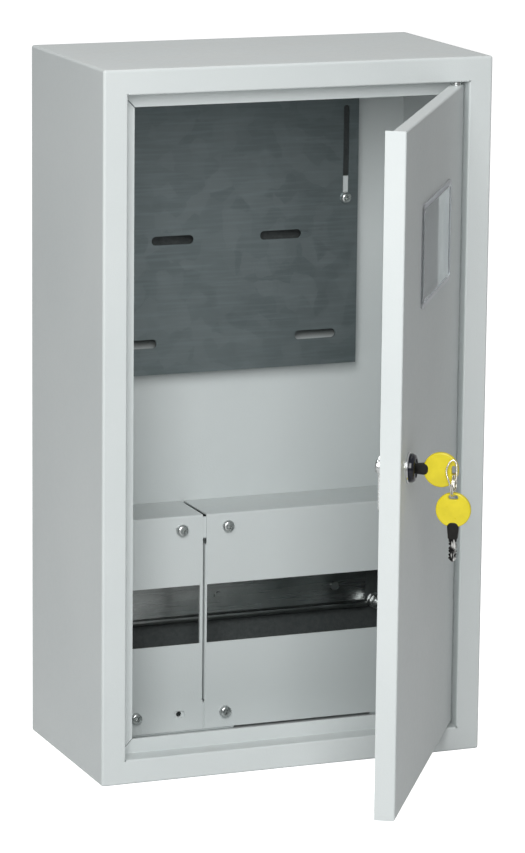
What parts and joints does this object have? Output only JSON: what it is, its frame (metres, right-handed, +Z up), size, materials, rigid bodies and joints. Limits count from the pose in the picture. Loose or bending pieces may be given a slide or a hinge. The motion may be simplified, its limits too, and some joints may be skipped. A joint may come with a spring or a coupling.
{
  "type": "electrical enclosure",
  "caption": "Wall-mounted sheet-steel electrical enclosure with a meter panel, breaker covers over a rail, and a windowed door with lock and keys, standing open.",
  "frame": {"origin": "centre of the housing's bottom face, midway between its front and back planes", "axes": "+Z up along the housing's height, -Y out of the front opening, +X towards the hinge side"},
  "size_m": [0.31, 0.3826, 0.54],
  "materials": {
    "grey_paint": "light grey fine-texture powder coat",
    "galvanised": "dull dark galvanised sheet",
    "zinc": "bright zinc-plated steel",
    "clear_window": "clear moulded plastic",
    "chrome": "bright chrome",
    "black_gloss": "glossy black",
    "black_plastic": "satin black moulded plastic",
    "yellow_plastic": "smooth yellow moulded plastic",
    "key_steel": "nickel-plated steel",
    "ring_steel": "bright nickel-plated wire"
  },
  "bodies": {
    "housing": {"housing_shell": "grey_paint", "rear_panel": "grey_paint", "meter_panel": "galvanised", "panel_brackets": "grey_paint", "panel_screws": "zinc", "left_cover": "grey_paint", "right_cover": "grey_paint", "cover_screws": "zinc", "lower_bracket_left": "grey_paint", "lower_bracket_right": "grey_paint", "upper_bracket": "grey_paint", "upper_bracket_right": "grey_paint", "din_rail": "zinc", "rail_rivets": "zinc", "earth_stud": "zinc", "earth_washers": "zinc", "earth_nuts": "zinc"},
    "door": {"door_panel": "grey_paint", "hinge_lugs": "grey_paint", "hinge_pins": "zinc", "hinge_clips": "zinc", "hinge_washers": "zinc", "window_pane": "clear_window", "lock_body": "chrome", "lock_cap": "black_gloss", "lock_nut": "zinc", "door_stud": "zinc", "door_stud_nut": "zinc"},
    "plug": {"lock_plug": "chrome", "lock_cam": "zinc", "cam_screw": "zinc"},
    "key": {"key_blade": "key_steel", "key_grip": "black_plastic", "key_head": "yellow_plastic"},
    "ring": {"key_ring": "ring_steel"},
    "spare_key": {"spare_key_blade": "key_steel", "spare_key_grip": "black_plastic", "spare_key_head": "yellow_plastic"}
  },
  "joints": [
    {"name": "door_hinge", "type": "hinge", "parent": "housing", "child": "door", "pos_m": [0.1271, -0.0776, 0.27], "axis": [0, 0, 1], "range_deg": [-57.2, 58]},
    {"name": "lock_turn", "type": "hinge", "parent": "door", "child": "plug", "pos_m": [0.00657, -0.27367, 0.274], "axis": [0.8406, -0.5417, 0], "range_deg": [0, 90]},
    {"name": "key_pull", "type": "slide", "parent": "plug", "child": "key", "axis": [0.8406, -0.5417, 0], "range_m": [0, 0.03]},
    {"name": "ring_swing", "type": "hinge", "parent": "key", "child": "ring", "pos_m": [0.03456, -0.29171, 0.2691], "axis": [0.8406, -0.5417, 0], "range_deg": [-6, 10]},
    {"name": "spare_key_swing", "type": "hinge", "parent": "ring", "child": "spare_key", "pos_m": [0.03456, -0.29171, 0.2637], "axis": [0.8406, -0.5417, 0], "range_deg": [-25, 25]}
  ]
}
